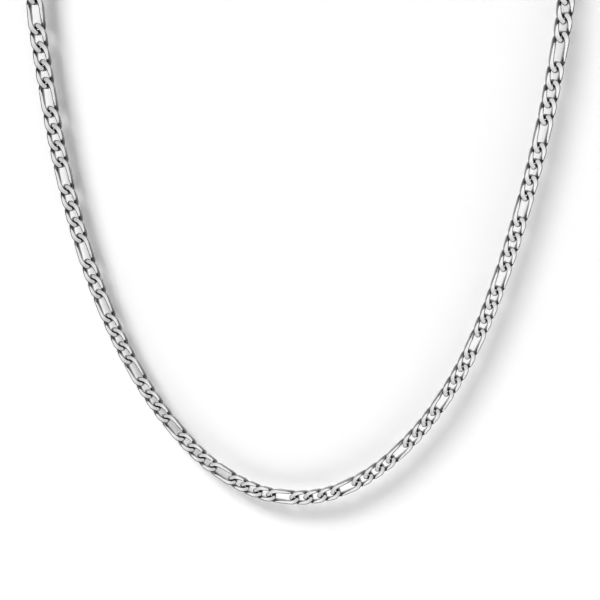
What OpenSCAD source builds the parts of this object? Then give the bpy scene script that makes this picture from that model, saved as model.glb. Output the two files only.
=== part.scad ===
// Figaro chain necklace, hanging as worn: one long link after every three short ones,
// twisted and filed flat front and back, closed over the top by one plain clasp.
// Units are millimetres. +Z is up, the front faces -Y, the necklace lies in the XZ plane
// and the origin is the place under the clasp where it is held.

/* [Links] */
// overall width of a link, across the chain
chain_width = 4.3;
// opening of a short link, along the chain
short_inner = 4.36;
// opening of a long link, along the chain
long_inner = 7.17;
// width of the wire along a link's two sides
side_width = 1.16;
// width of the wire round a link's two ends
end_width = 1.2;
// depth of the wire along a link's two sides, before it is filed
side_depth = 1.7;
// depth of the wire round a link's two ends, before it is filed
end_depth = 1.26;
// depth of the finished chain, front facet to back facet
chain_depth = 1.3;
// turn of each end out of the link's own plane
end_twist = 55; // [35:60]
// how late that turn comes: 1 turns a link evenly, more leaves its sides flatter
twist_delay = 1.4; // [1:0.1:1.8]
// play between two links that hang in one another
link_play = 0.14;
// how far the lowest links lean back, so that they face up; steeper ones lean less
lean = 10; // [0:12]

/* [Pattern] */
// long links in the whole chain
long_links = 27;
// short links in each full group
short_run = 3;
// the group that is one short link down, counted from the left of the clasp
odd_group = 9;
// short links between the clasp and the first long link, on the left
first_run = 2;

/* [Clasp] */
// length of the clasp between the points where the chain pulls on it
clasp_span = 16.6;
// diameter of the clasp's body
clasp_body_d = 4;
// opening of the clasp's two eyes
eye_bore = 2.5;
// diameter of the eyes' wire
eye_wire = 0.9;
// rounding of the body's two rims
clasp_rim = 0.8;

/* [Finish] */
metal_color = [0.78, 0.78, 0.80];

/* [Hidden] */
wire_sides = 6; // sides of the wire
steps = 8;      // straight pieces between two route points

// A quarter of a short link's outline, from its side to its end, as shares of how far
// the wire's middle reaches along and across. A long link is the same, pulled apart.
quarter = [
  // along, across
  [0.36, 1.0], [0.80, 0.80], [1.0, 0.32]];

// Route of the chain, from the clasp down the left, along the bottom and up the right:
// x to the right of the clasp's middle, z above the place where the necklace is held.
route_points = [
  // x,     z
  [-8.3, 2.0], [-26.0, -4.4], [-43.0, -17.6], [-55.2, -35.1], [-62.2, -54.9],
  [-63.7, -76.0], [-63.0, -93.1], [-61.6, -110.2], [-59.2, -127.2], [-55.7, -143.9],
  [-50.7, -160.3], [-44.0, -176.3], [-35.2, -191.0], [-23.9, -203.7], [-9.0, -212.0],
  [7.9, -211.9], [22.7, -203.5], [34.2, -190.9], [43.0, -176.2], [49.5, -160.1],
  [54.2, -143.7], [57.9, -126.9], [60.8, -110.1], [62.8, -93.0], [63.8, -75.9],
  [61.8, -54.9], [54.9, -35.1], [43.0, -17.6], [26.0, -4.4], [8.3, 2.0]];

// How the slack is spread: share of the chain pulled taut, share of the route.
slack = [[0, 0], [0.2, 0.1947], [0.28, 0.2745], [0.46, 0.4602], [0.56, 0.5583],
         [0.76, 0.7566], [1, 1]];

// The pattern: the opening of every link, in order from the left of the clasp.
function run_after(g) = g == odd_group - 1 ? short_run - 1 : short_run;
function short_group(n) = [for (i = [0:1:n - 1]) short_inner];
inner = concat(short_group(first_run),
  [for (g = [0:long_links - 1]) each concat([long_inner], short_group(run_after(g)))]);
link_count = len(inner);
half_count = ceil(link_count / 2);
pulls = [for (i = 0, s = 0; i <= link_count; s = s + (i < link_count ? inner[i] : 0), i = i + 1) s];
taut = pulls[link_count];

// The route: a smooth closed curve, its length, and the place at any length along it.
last = len(route_points) - 1;
function at(i) = route_points[(i + last + 1) % (last + 1)];
function curve(i, u) = // a smooth curve through the points
  let (a = at(i - 1), b = at(i), c = at(i + 1), d = at(i + 2))
  0.5 * (2 * b + (c - a) * u + (2 * a - 5 * b + 4 * c - d) * u * u
         + (3 * b - a - 3 * c + d) * u * u * u);
trace = concat([for (i = [0:last - 1], k = [0:steps - 1]) curve(i, k / steps)], [at(last)]);
travel = [for (i = 0, s = 0; i < len(trace);
  s = s + (i < len(trace) - 1 ? norm(trace[i + 1] - trace[i]) : 0), i = i + 1) s];
route_length = travel[len(travel) - 1];
trace_x = [for (i = [0:len(trace) - 1]) [travel[i], trace[i][0]]];
trace_z = [for (i = [0:len(trace) - 1]) [travel[i], trace[i][1]]];
function on_route(s) = [lookup(s, trace_x), lookup(s, trace_z)];
function pivot(i) = on_route(route_length * lookup(pulls[i] / taut, slack));

// One link: rings of the wire's section, set round its outline, twisted and filed.
end_reach = (short_inner + link_play + end_width) / 2;
side_reach = (chain_width - side_width) / 2;
top_half = concat([for (i = [len(quarter) - 1:-1:0]) quarter[i]],
                  [for (q = quarter) [-q[0], q[1]]]);
stations = concat(top_half, [for (q = top_half) -q]);
station_count = len(stations);
function half_straight(open) = (open - short_inner) / 2;
function middle(open, j) =
  let (q = stations[(j + station_count) % station_count])
  [q[0] * end_reach + sign(q[0]) * half_straight(open), q[1] * side_reach];
function filed(p) = [p[0], p[1], max(-chain_depth / 2, min(chain_depth / 2, p[2]))];
function twisted(p, turn) =
  [p[0], p[1] * cos(turn) - p[2] * sin(turn), p[1] * sin(turn) + p[2] * cos(turn)];
function ring(open, j) =
  let (c = middle(open, j), d = middle(open, j + 1) - middle(open, j - 1),
       out = [d[1], -d[0]] / norm(d), share = stations[j][0],
       half_width = (side_width + (end_width - side_width) * share * share) / 2,
       half_depth = (side_depth + (end_depth - side_depth) * share * share) / 2,
       turn = -end_twist * sign(share) * pow(abs(share), twist_delay))
  [for (k = [0:wire_sides - 1])
    let (b = 360 * k / wire_sides, w = half_width * cos(b), t = half_depth * sin(b))
    filed(twisted([c[0] + out[0] * w, c[1] + out[1] * w, t], turn))];
function link_points(open) = [for (j = [0:station_count - 1]) each ring(open, j)];
ring_quads = [for (j = [0:station_count - 1], k = [0:wire_sides - 1])
  let (j2 = (j + 1) % station_count, k2 = (k + 1) % wire_sides)
  [j * wire_sides + k, j * wire_sides + k2, j2 * wire_sides + k2, j2 * wire_sides + k]];
link_faces = [for (q = ring_quads) each [[q[0], q[1], q[2]], [q[0], q[2], q[3]]]];

// A run of links, each laid between two pivots of the route.
function laid(p, a, b) =
  let (t = (b - a) / norm(b - a), m = (a + b) / 2)
  [m[0] + p[0] * t[0] - p[1] * t[1], -p[2], m[1] + p[0] * t[1] + p[1] * t[0]];
function leant(p, a, b) = twisted(p, -lean * pow(max(0, (b[0] - a[0]) / norm(b - a)), 2));
module links(first, end) {
  per_link = station_count * wire_sides;
  polyhedron(
    points = [for (i = [first:end - 1]) let (a = pivot(i), b = pivot(i + 1))
      each [for (p = link_points(inner[i])) laid(leant(p, a, b), a, b)]],
    faces = [for (i = [0:end - first - 1]) each [for (f = link_faces) f + i * per_link * [1, 1, 1]]],
    convexity = 10);
}

module chain_left() color(metal_color) links(0, half_count);
module chain_right() color(metal_color) links(half_count, link_count);

// The clasp: a plain round body with an eye at each end.
eye_ring_r = (eye_bore + eye_wire) / 2;
eye_middle = clasp_span / 2 + link_play / 2 - eye_bore / 2;
body_half = eye_middle - eye_ring_r + eye_wire / 4;
module eye(side)
  translate([side * eye_middle, 0, 0])
    rotate([side * end_twist, 0, 0])
      rotate_extrude($fn = 96) translate([eye_ring_r, 0]) circle(d = eye_wire, $fn = 48);
module clasp_body()
  rotate([0, 90, 0]) rotate_extrude($fn = 96) {
    r = clasp_body_d / 2;
    translate([0, -body_half]) square([r - clasp_rim, 2 * body_half]);
    translate([0, clasp_rim - body_half]) square([r, 2 * (body_half - clasp_rim)]);
    for (s = [-1, 1]) translate([r - clasp_rim, s * (body_half - clasp_rim)])
      circle(r = clasp_rim, $fn = 48);
  }
module clasp()
  color(metal_color) translate([0, 0, clasp_body_d / 2]) {
    clasp_body();
    eye(-1);
    eye(1);
  }

chain_left();
chain_right();
clasp();
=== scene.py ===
"""Figaro chain necklace in polished steel, hung in front of a plain white studio wall.

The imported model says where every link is: each of its loose solids is one link, and a
finely modelled link of the same size is laid on it.
"""

import math

import bmesh
import bpy
from mathutils import Matrix, Vector


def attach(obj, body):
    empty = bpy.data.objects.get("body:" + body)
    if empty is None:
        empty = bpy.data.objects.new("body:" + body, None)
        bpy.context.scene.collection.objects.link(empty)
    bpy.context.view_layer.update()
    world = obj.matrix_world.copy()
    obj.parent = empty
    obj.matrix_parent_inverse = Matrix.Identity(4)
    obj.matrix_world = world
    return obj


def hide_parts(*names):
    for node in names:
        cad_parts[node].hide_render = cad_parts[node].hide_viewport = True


MM = 0.001

# A link, in metres. Its width, its depth and every link's place come from the frame.
SHORT_OPENING = 4.36 * MM
LONG_OPENING = 7.17 * MM
PLAY = 0.14 * MM
SIDE_WIDTH = 1.16 * MM
END_WIDTH = 1.32 * MM
SIDE_DEPTH = 2.00 * MM
END_DEPTH = 1.26 * MM
END_TWIST = math.radians(57)
SHORT_TWIST_DELAY = 1.4
LONG_TWIST_DELAY = 2.4
SQUARENESS = 0.65

# How finely a link is made.
STATIONS = 44
WIRE_SIDES = 16
LONG_SIDE_CUTS = 3
RING_RADIUS = 3.0
TINY_EDGE = 0.05 * MM
FACET_RIMS = ((0.12 * MM, 0.13 * MM), (0.07 * MM, 0.02 * MM))
STEEP_FLANK = (0.10, 0.55)
SAME_PLACE = 0.0005 * MM

# Where a link gets painted shade, by how far along an end and how squarely inwards it faces,
# and where it is satin with a painted lighter tone, by how squarely outwards.
NOOK_SHADE_START, NOOK_SHADE_FULL = 0.05, 0.45
NOOK_SHADE_AT_SIDES = 0.35
NOOK_SHADE_FACING = (-0.10, 0.50)
OUTER_FACING = (0.10, 0.60)

# A facet is painted greyer towards its tail, a painted shade where it dives under the next
# link, from and to so many millimetres along an end.
TAIL_SHADE_EDGE = (0.6, 3.3)
TAIL_SHADE_SHARE = 0.65

# The greys of the metal and of the paper: the darker and the paler parts of a cloud, and
# what a facet's tail (painted shade), the wire's outside (painted light) and the nooks
# (painted shade) turn to.
FACET_GREYS = ((0.78, 0.78, 0.785, 1), (0.90, 0.90, 0.90, 1))
TAIL_SHADE_GREY = (0.42, 0.42, 0.425, 1)
WIRE_GREYS = ((0.58, 0.58, 0.585, 1), (0.76, 0.76, 0.76, 1))
LIT_SATIN_GREY = (0.95, 0.95, 0.95, 1)
NOOK_SHADE_GREY = (0.03, 0.03, 0.033, 1)
CLASP_GREYS = ((0.60, 0.60, 0.605, 1), (0.76, 0.76, 0.76, 1))
PAPER_GREYS = ((0.90, 0.90, 0.90, 1), (0.92, 0.92, 0.92, 1))

# How rough the polished metal is, and how much rougher its lines, nooks and outside are.
POLISHED = 0.16
LINE_ROUGHNESS = 0.14
NOOK_ROUGHNESS = 0.12
SATIN_ROUGHNESS = 0.45

# The scale of each pattern: per millimetre on the links, per metre on clasp and paper.
FACET_CLOUD = 0.9
FILE_LINES, FILE_STRETCH = 2.2, (1.0, 14.0, 1.0)
WIRE_CLOUD = 1.3
DRAWN_LINES, DRAWN_STRETCH = 2.5, (0.6, 9.0, 9.0)
CLASP_CLOUD = 500.0
TURNED_LINES, TURNED_STRETCH = 1500.0, (1.0, 0.02, 0.02)
PAPER_GRAIN = 40.0
COARSE, MEDIUM, FINE = 2.0, 3.0, 4.0
NEXT_LINK_PATTERN = Vector((11.3, 5.7, 0))

# The relief: strength and depth, and how much the weaker pattern adds to the stronger.
FACET_RELIEF = (0.6, 0.14 * MM)
WIRE_RELIEF = (0.3, 0.01 * MM)
FILE_LINE_SHARE = 0.02
WIRE_CLOUD_SHARE = 0.4

# The camera stands in front of the hanging loop and looks a little down on it.
CAMERA_TARGET = Vector((0, 0, -0.1517))
CAMERA_ELEVATION = math.radians(18.195)
CAMERA_DISTANCE = 0.21097
CAMERA_NEAR = 0.01
FOCAL_PIXELS = 780.6
IMAGE_PIXELS = 600
SENSOR = 36.0

# The room: a floor, and a wall just behind the chain.
FLOOR_Z = -0.262
FLOOR_HALF = 1.6
WALL_GAP = 5.6 * MM
WALL_TURN = math.radians(1.3)
WALL_HALF_WIDTH = 0.45
WALL_TOP = 0.25

# The light: a key light from the upper left, and what the metal mirrors of the studio, a
# screen in front, a weaker one behind and dim sides.
KEY_DIRECTION = Vector((-0.74, -1.0, 1.62))
KEY_DISTANCE = 3.0
KEY_WIDTH = 1.05
KEY_HEIGHT = 0.70
KEY_RADIANCE = 42.5
SCREEN_EDGE = (0.55, 0.90)
SCREEN_RADIANCE = 1.05
SCREEN_LEAN = 0.30
SIDE_RADIANCE = 0.02
AMBIENT_RADIANCE = 0.14
UPPER_LEFT = (-0.60, 0.80)
BACK_EDGE = (0.30, 0.75)
BACK_UPPER_LEFT_EDGE = (-0.75, 0.25)
BACK_RADIANCE = 0.95
BACK_EVEN_SHARE = 0.5
PALE = (0.93, 0.93, 0.93, 1)


class Value:
    """A number in a material that changes over the surface."""

    def __init__(self, graph, socket):
        self.graph = graph
        self.socket = socket

    def _math(self, operation, first, second):
        return self.graph.node("ShaderNodeMath", {"operation": operation},
                               {0: first, 1: second})

    def __add__(self, other):
        return self._math("ADD", self, other)

    __radd__ = __add__

    def __sub__(self, other):
        return self._math("SUBTRACT", self, other)

    def __rsub__(self, other):
        return self._math("SUBTRACT", other, self)

    def __mul__(self, other):
        return self._math("MULTIPLY", self, other)

    __rmul__ = __mul__

    def __abs__(self):
        return self._math("ABSOLUTE", self, 0.0)


class Graph:
    """The nodes of one material or world, and the way to add to them."""

    def __init__(self, holder):
        self.holder = holder
        holder.use_nodes = True
        self.tree = holder.node_tree
        self.tree.nodes.clear()

    def node(self, kind, settings=None, inputs=None, output=0):
        node = self.tree.nodes.new(kind)
        for name, setting in (settings or {}).items():
            setattr(node, name, setting)
        for name, given in (inputs or {}).items():
            if isinstance(given, Value):
                self.tree.links.new(given.socket, node.inputs[name])
            else:
                node.inputs[name].default_value = given
        return Value(self, node.outputs[output]) if len(node.outputs) else None

    def mix_colour(self, factor, first, second):
        return self.node("ShaderNodeMix", {"data_type": "RGBA"},
                         {0: factor, 6: first, 7: second}, 2)

    def noise(self, place, scale, detail=MEDIUM):
        return self.node("ShaderNodeTexNoise", None,
                         {"Vector": place, "Scale": scale, "Detail": detail})

    def stretched(self, place, stretch):
        return self.node("ShaderNodeMapping", None, {"Vector": place, "Scale": stretch})

    def attribute(self, name, output):
        return self.node("ShaderNodeAttribute", {"attribute_name": name}, None, output)

    def own_place(self):
        return self.node("ShaderNodeTexCoord", None, None, "Object")

    def ramp(self, value, edges):
        return self.node("ShaderNodeMapRange", {"interpolation_type": "SMOOTHSTEP"},
                         {"Value": value, "From Min": edges[0], "From Max": edges[1]})

    def bump(self, relief, height):
        return self.node("ShaderNodeBump", None, {
            "Strength": relief[0], "Distance": relief[1], "Height": height})

    def metal(self, colour, roughness, normal):
        shader = self.node("ShaderNodeBsdfPrincipled", None, {
            "Metallic": 1.0, "Base Color": colour, "Roughness": roughness, "Normal": normal})
        self.node("ShaderNodeOutputMaterial", None, {"Surface": shader})
        return self.holder


def filed_facet_finish():
    """The flat front and back of the links: filed, then polished, with faint lines left."""
    graph = Graph(bpy.data.materials.new("filed_facet"))
    place = graph.attribute("link_place", "Vector")
    cloud = graph.noise(place, FACET_CLOUD, COARSE)
    lines = graph.noise(graph.stretched(place, FILE_STRETCH), FILE_LINES, FINE)
    own_x, straight = (graph.node("ShaderNodeSeparateXYZ", None, {
        "Vector": graph.attribute("own_place", "Vector")}, axis) for axis in "XZ")
    # painted shade: the facet turns greyer towards its tail, where it passes under the next
    # link
    tail_shade = graph.ramp(abs(own_x) - straight, TAIL_SHADE_EDGE)
    pale = graph.mix_colour(cloud, *FACET_GREYS)
    colour = graph.mix_colour(TAIL_SHADE_SHARE * tail_shade, pale, TAIL_SHADE_GREY)
    normal = graph.bump(FACET_RELIEF, cloud + FILE_LINE_SHARE * lines)
    return graph.metal(colour, POLISHED + LINE_ROUGHNESS * lines, normal)


def round_wire_finish():
    """The round flank of the wire: satin with a painted lighter tone outside, and painted
    shade in the nooks where links meet.
    """
    graph = Graph(bpy.data.materials.new("round_wire"))
    place = graph.attribute("link_place", "Vector")
    nook_shade = graph.attribute("nook_shade", "Fac")
    outer_satin_lit = graph.attribute("outer_satin_lit", "Fac")
    cloud = graph.noise(place, WIRE_CLOUD)
    drawn = graph.noise(graph.stretched(place, DRAWN_STRETCH), DRAWN_LINES)
    clean = graph.mix_colour(cloud, *WIRE_GREYS)
    # painted light: the outside of the wire is painted a lighter grey
    lit_satin = graph.mix_colour(outer_satin_lit, clean, LIT_SATIN_GREY)
    # painted shade: the nooks where links meet turn nearly black
    colour = graph.mix_colour(nook_shade, lit_satin, NOOK_SHADE_GREY)
    normal = graph.bump(WIRE_RELIEF, drawn + WIRE_CLOUD_SHARE * cloud)
    roughness = (POLISHED + LINE_ROUGHNESS * drawn + NOOK_ROUGHNESS * nook_shade
                 + SATIN_ROUGHNESS * outer_satin_lit)
    return graph.metal(colour, roughness, normal)


def turned_barrel_finish():
    """The clasp: turned round its length and polished."""
    graph = Graph(bpy.data.materials.new("turned_barrel"))
    place = graph.own_place()
    turned = graph.noise(graph.stretched(place, TURNED_STRETCH), TURNED_LINES)
    colour = graph.mix_colour(graph.noise(place, CLASP_CLOUD, COARSE), *CLASP_GREYS)
    normal = graph.bump(WIRE_RELIEF, turned)
    return graph.metal(colour, POLISHED + LINE_ROUGHNESS * turned, normal)


def signed_power(number, power):
    return math.copysign(abs(number) ** power, number)


def rise(number, start, full):
    return max(0.0, min(1.0, (number - start) / (full - start)))


class Link:
    """The sizes of one kind of link."""

    def __init__(self, opening, width, depth, twist_delay):
        self.reach_x = (SHORT_OPENING + PLAY + END_WIDTH) / 2
        self.reach_y = (width - SIDE_WIDTH) / 2
        self.straight = (opening - SHORT_OPENING) / 2
        self.depth = depth
        self.twist_delay = twist_delay

    def end_share(self, x):
        """How far along one end a place lies, from 0 at its start to 1 at its tip."""
        return max(0.0, (abs(x) - self.straight) / self.reach_x)

    def turn(self, x):
        share = x / (self.reach_x + self.straight)
        return -END_TWIST * signed_power(share, self.twist_delay)


def bent_wire(link):
    """A ring of round wire bent to a link's outline, and its outline's own X stored."""
    bm = bmesh.new()
    spine_x = bm.verts.layers.float.new("spine_x")
    section = bmesh.ops.create_circle(bm, segments=WIRE_SIDES, radius=1.0)["verts"]
    bmesh.ops.rotate(bm, verts=section, matrix=Matrix.Rotation(math.pi / 2, 3, "X"))
    bmesh.ops.translate(bm, verts=section, vec=(RING_RADIUS, 0, 0))
    half_step = math.pi / STATIONS
    bmesh.ops.rotate(bm, verts=section, matrix=Matrix.Rotation(half_step, 3, "Z"))
    bmesh.ops.spin(bm, geom=bm.verts[:] + bm.edges[:], cent=(0, 0, 0), axis=(0, 0, 1),
                   steps=STATIONS, angle=2 * math.pi, use_merge=True)
    for vert in bm.verts:
        vert.co, vert[spine_x] = bent(link, vert.co)
    return bm


def bent(link, place):
    """Where a place on the plain round ring goes on the link, and its spine's X."""
    turn = math.atan2(place.y, place.x)
    out = math.hypot(place.x, place.y) - RING_RADIUS
    along, across = math.cos(turn), math.sin(turn)
    share_x = signed_power(along, SQUARENESS)
    share_y = signed_power(across, SQUARENESS)
    facing = Vector((signed_power(along, 2 - SQUARENESS) / link.reach_x,
                     signed_power(across, 2 - SQUARENESS) / link.reach_y, 0)).normalized()
    half_width = (SIDE_WIDTH + (END_WIDTH - SIDE_WIDTH) * share_x ** 2) / 2
    half_depth = (SIDE_DEPTH + (END_DEPTH - SIDE_DEPTH) * abs(share_x)) / 2
    spine = Vector((share_x * link.reach_x + math.copysign(link.straight, along),
                    share_y * link.reach_y, place.z * half_depth))
    return spine + facing * half_width * out, spine.x


def mark_sides(bm, link):
    """Marks the link's inside for painted shade, most of all next to its neighbour, and its
    outside for satin and a painted lighter tone.
    """
    nook_shade = bm.verts.layers.float.new("nook_shade")
    outer_satin_lit = bm.verts.layers.float.new("outer_satin_lit")
    for vert in bm.verts:
        inwards = Vector((-vert.co.x, -vert.co.y)).normalized()
        along = max(NOOK_SHADE_AT_SIDES, rise(link.end_share(vert.co.x), NOOK_SHADE_START, NOOK_SHADE_FULL))
        # painted shade mask: strongest at the ends next to the neighbour, on inward faces
        vert[nook_shade] = along * rise(vert.normal.xy.dot(inwards), *NOOK_SHADE_FACING)
        # satin and painted light mask on the outward faces
        vert[outer_satin_lit] = rise(-vert.normal.xy.dot(inwards), *OUTER_FACING)


def link_mesh(link):
    """One finished link round the origin, along X, with its facets facing +Z and -Z."""
    bm = bent_wire(link)
    if link.straight > 0:
        middle = [e for e in bm.edges if e.verts[0].co.x * e.verts[1].co.x < 0]
        bmesh.ops.subdivide_edges(bm, edges=middle, cuts=LONG_SIDE_CUTS, use_grid_fill=True)
    bmesh.ops.recalc_face_normals(bm, faces=bm.faces)
    bm.normal_update()
    mark_sides(bm, link)
    spine_x = bm.verts.layers.float["spine_x"]
    for vert in bm.verts:
        vert.co.rotate(Matrix.Rotation(link.turn(vert[spine_x]), 3, "X"))
    file_flat(bm, link.depth)
    place = bm.verts.layers.float_vector.new("link_place")
    own = bm.verts.layers.float_vector.new("own_place")
    for vert in bm.verts:
        vert[place] = vert.co / MM
        vert[own] = Vector((vert.co.x, 0, link.straight)) / MM
    return bm


def file_flat(bm, depth):
    """Files the wire flat front and back, and rounds the facets' edges."""
    facets = facets_cut(bm, depth)
    steep = bm.verts.layers.float["steep"]
    for inset, drop in FACET_RIMS:
        rim = {v for f in facets for v in f.verts}
        bmesh.ops.inset_region(bm, faces=facets, thickness=inset, use_even_offset=False)
        for vert in rim:
            vert.co.z -= math.copysign(drop * vert[steep], vert.co.z)


def facets_cut(bm, depth):
    """Cuts the wire front and back, closes the cuts and stores how steep it is there."""
    steep = bm.verts.layers.float.new("steep")
    for face in bm.faces:
        face.smooth = True
    for side in (1, -1):
        geom = bm.verts[:] + bm.edges[:] + bm.faces[:]
        level = Vector((0, 0, side * depth / 2))
        bmesh.ops.bisect_plane(bm, geom=geom, dist=SAME_PLACE, plane_co=level,
                               plane_no=(0, 0, side), clear_outer=True)
    bmesh.ops.remove_doubles(bm, verts=bm.verts, dist=TINY_EDGE)
    bm.normal_update()
    for vert in bm.verts:
        vert[steep] = rise(1 - abs(vert.normal.z), *STEEP_FLANK)
    rims = [e for e in bm.edges if e.is_boundary]
    for edge in rims:
        edge.smooth = False
    facets = bmesh.ops.holes_fill(bm, edges=rims, sides=0)["faces"]
    for face in facets:
        face.smooth = True
        face.material_index = 1
    bmesh.ops.recalc_face_normals(bm, faces=bm.faces)
    return facets


def links_of(node):
    """The links of a CAD node: each loose solid's middle, direction and size."""
    bm = bmesh.new()
    bm.from_mesh(node.data)
    bmesh.ops.remove_doubles(bm, verts=bm.verts, dist=SAME_PLACE)
    seen, found = set(), []
    for start in bm.verts:
        if start not in seen:
            found.append(measured_link(solid_round(start, seen)))
    bm.free()
    return found


def solid_round(start, seen):
    """The places of all vertices joined to one by edges."""
    seen.add(start)
    places, queue = [], [start]
    while queue:
        vert = queue.pop()
        places.append(vert.co.copy())
        for edge in vert.link_edges:
            other = edge.other_vert(vert)
            if other not in seen:
                seen.add(other)
                queue.append(other)
    return places


def longest_way(spans, first, second):
    """The direction in which a cloud of points is longest, in the plane of two others."""
    spread = sum(s.dot(first) ** 2 - s.dot(second) ** 2 for s in spans)
    both = sum(s.dot(first) * s.dot(second) for s in spans)
    angle = 0.5 * math.atan2(2 * both, spread)
    return math.cos(angle) * first + math.sin(angle) * second


def measured_link(places):
    """A link's middle, the directions of its length, width and depth, and their sizes."""
    middle = sum(places, Vector()) / len(places)
    spans = [p - middle for p in places]
    along = longest_way(spans, Vector((1, 0, 0)), Vector((0, 0, 1)))
    across = longest_way(spans, Vector((-along.z, 0, along.x)), Vector((0, 1, 0)))
    facing = along.cross(across)
    length, width, depth = (2 * max(abs(s.dot(way)) for s in spans)
                            for way in (along, across, facing))
    return {"middle": middle, "along": along, "across": across, "facing": facing,
            "length": length, "width": width, "depth": depth}


def laid_on(found):
    """Turns a link from lying along X, facing +Z, to its place, facing the front."""
    rows = (found["along"], found["across"], found["facing"])
    turned = Matrix(rows).transposed().to_4x4()
    return Matrix.Translation(found["middle"]) @ turned


def link_copy(template, found, number):
    """A link laid in its place, with its own part of the surface pattern."""
    copy = template.copy()
    copy.transform(laid_on(found))
    place = copy.verts.layers.float_vector["link_place"]
    for vert in copy.verts:
        vert[place] = vert[place] + number * NEXT_LINK_PATTERN
    mesh = bpy.data.meshes.new("link_copy")
    copy.to_mesh(mesh)
    copy.free()
    return mesh


def chain_piece(name, half, templates, finishes):
    """All links of one half of the chain, joined in one mesh."""
    joined = bmesh.new()
    for number, found in enumerate(half):
        is_long = found["length"] > (SHORT_OPENING + LONG_OPENING) / 2 + 2 * END_WIDTH
        mesh = link_copy(templates[is_long], found, number)
        joined.from_mesh(mesh)
        bpy.data.meshes.remove(mesh)
    piece = new_object(name, joined)
    for finish in finishes:
        piece.data.materials.append(finish)
    return piece


def new_object(name, bm):
    mesh = bpy.data.meshes.new(name)
    bm.to_mesh(mesh)
    bm.free()
    piece = bpy.data.objects.new(name, mesh)
    bpy.context.scene.collection.objects.link(piece)
    return piece


def chain(frame):
    """Both halves of the chain, laid on the two CAD nodes that they replace."""
    halves = {name: links_of(frame["nodes"][name]) for name in ("chain_left", "chain_right")}
    width, depth = (max(found[size] for half in halves.values() for found in half)
                    for size in ("width", "depth"))
    templates = {
        False: link_mesh(Link(SHORT_OPENING, width, depth, SHORT_TWIST_DELAY)),
        True: link_mesh(Link(LONG_OPENING, width, depth, LONG_TWIST_DELAY))}
    finishes = [round_wire_finish(), filed_facet_finish()]
    for name, half in halves.items():
        piece = chain_piece("links_of_" + name, half, templates, finishes)
        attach(piece, "root")
        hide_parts(name)


def stage_paper(name, see_through_back):
    """Plain white paper. Where asked, its back lets everything through."""
    graph = Graph(bpy.data.materials.new(name))
    grain = graph.noise(graph.own_place(), PAPER_GRAIN, COARSE)
    colour = graph.mix_colour(grain, *PAPER_GREYS)
    paper = graph.node("ShaderNodeBsdfDiffuse", None, {"Color": colour})
    if see_through_back:
        back = graph.node("ShaderNodeNewGeometry", None, None, "Backfacing")
        clear = graph.node("ShaderNodeBsdfTransparent")
        paper = graph.node("ShaderNodeMixShader", None, {0: back, 1: paper, 2: clear})
    graph.node("ShaderNodeOutputMaterial", None, {"Surface": paper})
    return graph.holder


def stage_sheet(name, half_x, half_y, turned, place, see_through_back):
    """A flat rectangle of studio paper."""
    bm = bmesh.new()
    bmesh.ops.create_grid(bm, x_segments=1, y_segments=1, size=1.0)
    bmesh.ops.scale(bm, verts=bm.verts, vec=(half_x, half_y, 1))
    bmesh.ops.rotate(bm, verts=bm.verts, matrix=turned)
    bmesh.ops.translate(bm, verts=bm.verts, vec=place)
    sheet = new_object(name, bm)
    sheet.data.materials.append(stage_paper(name + "_paper", see_through_back))
    sheet.visible_glossy = False


def studio():
    wall_half = (WALL_TOP - FLOOR_Z) / 2
    wall_place = (0, WALL_GAP, FLOOR_Z + wall_half)
    upright = Matrix.Rotation(WALL_TURN, 3, "Z") @ Matrix.Rotation(math.pi / 2, 3, "X")
    stage_sheet("floor", FLOOR_HALF, FLOOR_HALF, Matrix.Identity(3), (0, 0, FLOOR_Z), False)
    stage_sheet("wall", WALL_HALF_WIDTH, wall_half, upright, wall_place, True)


def key_light():
    """A large soft light that neither the camera nor the metal sees."""
    light = bpy.data.lights.new("key", "AREA")
    light.shape = "RECTANGLE"
    light.size = KEY_WIDTH
    light.size_y = KEY_HEIGHT
    light.energy = KEY_RADIANCE * math.pi * KEY_WIDTH * KEY_HEIGHT
    lamp = bpy.data.objects.new("key", light)
    lamp.location = CAMERA_TARGET + KEY_DISTANCE * KEY_DIRECTION.normalized()
    lamp.rotation_euler = (-KEY_DIRECTION).to_track_quat("-Z", "Y").to_euler()
    lamp.visible_camera = False
    lamp.visible_glossy = False
    bpy.context.scene.collection.objects.link(lamp)


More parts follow.
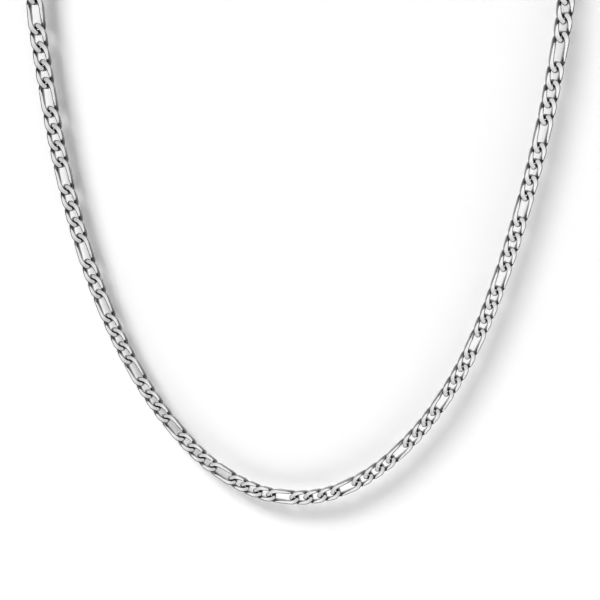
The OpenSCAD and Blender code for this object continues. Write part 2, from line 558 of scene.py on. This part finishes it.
def studio_air():
    """The soft light of the room: two bright screens, before and behind, and dim sides."""
    air = Graph(bpy.data.worlds.new("studio_air"))
    place = air.node("ShaderNodeTexCoord", None, None, "Generated")
    x, y, z = (air.node("ShaderNodeSeparateXYZ", None, {"Vector": place}, axis)
               for axis in "XYZ")
    front = air.ramp(0.0 - y, SCREEN_EDGE) * (1.0 + SCREEN_LEAN * x)
    towards = UPPER_LEFT[0] * x + UPPER_LEFT[1] * z
    uneven = (1 - BACK_EVEN_SHARE) * air.ramp(towards, BACK_UPPER_LEFT_EDGE)
    back = air.ramp(y, BACK_EDGE) * (BACK_EVEN_SHARE + uneven)
    light = SIDE_RADIANCE + SCREEN_RADIANCE * front + BACK_RADIANCE * back
    white = (1, 1, 1, 1)
    screens = air.node("ShaderNodeBackground", None, {"Color": white, "Strength": light})
    even = air.node("ShaderNodeBackground", None,
                    {"Color": white, "Strength": AMBIENT_RADIANCE})
    pale = air.node("ShaderNodeBackground", None, {"Color": PALE})
    diffuse = air.node("ShaderNodeLightPath", None, None, "Is Diffuse Ray")
    seen = air.node("ShaderNodeLightPath", None, None, "Is Camera Ray")
    lit = air.node("ShaderNodeMixShader", None, {0: diffuse, 1: screens, 2: even})
    mixed = air.node("ShaderNodeMixShader", None, {0: seen, 1: lit, 2: pale})
    air.node("ShaderNodeOutputWorld", None, {"Surface": mixed})
    return air.holder


def camera():
    back = Vector((0, -math.cos(CAMERA_ELEVATION), math.sin(CAMERA_ELEVATION)))
    data = bpy.data.cameras.new("camera")
    data.sensor_width = SENSOR
    data.lens = SENSOR * FOCAL_PIXELS / IMAGE_PIXELS
    data.clip_start = CAMERA_NEAR
    eye = bpy.data.objects.new("camera", data)
    eye.location = CAMERA_TARGET + CAMERA_DISTANCE * back
    eye.rotation_euler = (math.pi / 2 - CAMERA_ELEVATION, 0, 0)
    bpy.context.scene.collection.objects.link(eye)
    bpy.context.scene.camera = eye


def clasp(node):
    """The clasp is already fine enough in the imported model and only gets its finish."""
    node.data.materials.clear()
    node.data.materials.append(turned_barrel_finish())


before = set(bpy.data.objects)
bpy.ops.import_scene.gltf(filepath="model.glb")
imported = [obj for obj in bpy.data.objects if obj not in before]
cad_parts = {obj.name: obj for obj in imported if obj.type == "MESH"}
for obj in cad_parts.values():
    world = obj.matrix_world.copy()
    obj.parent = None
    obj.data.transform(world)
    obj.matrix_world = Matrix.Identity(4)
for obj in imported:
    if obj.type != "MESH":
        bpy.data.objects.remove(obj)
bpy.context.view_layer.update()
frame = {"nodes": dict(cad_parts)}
camera()
chain(frame)
clasp(frame["nodes"]["clasp"])
studio()
key_light()
bpy.context.scene.world = studio_air()
bpy.context.scene.view_settings.view_transform = "Standard"
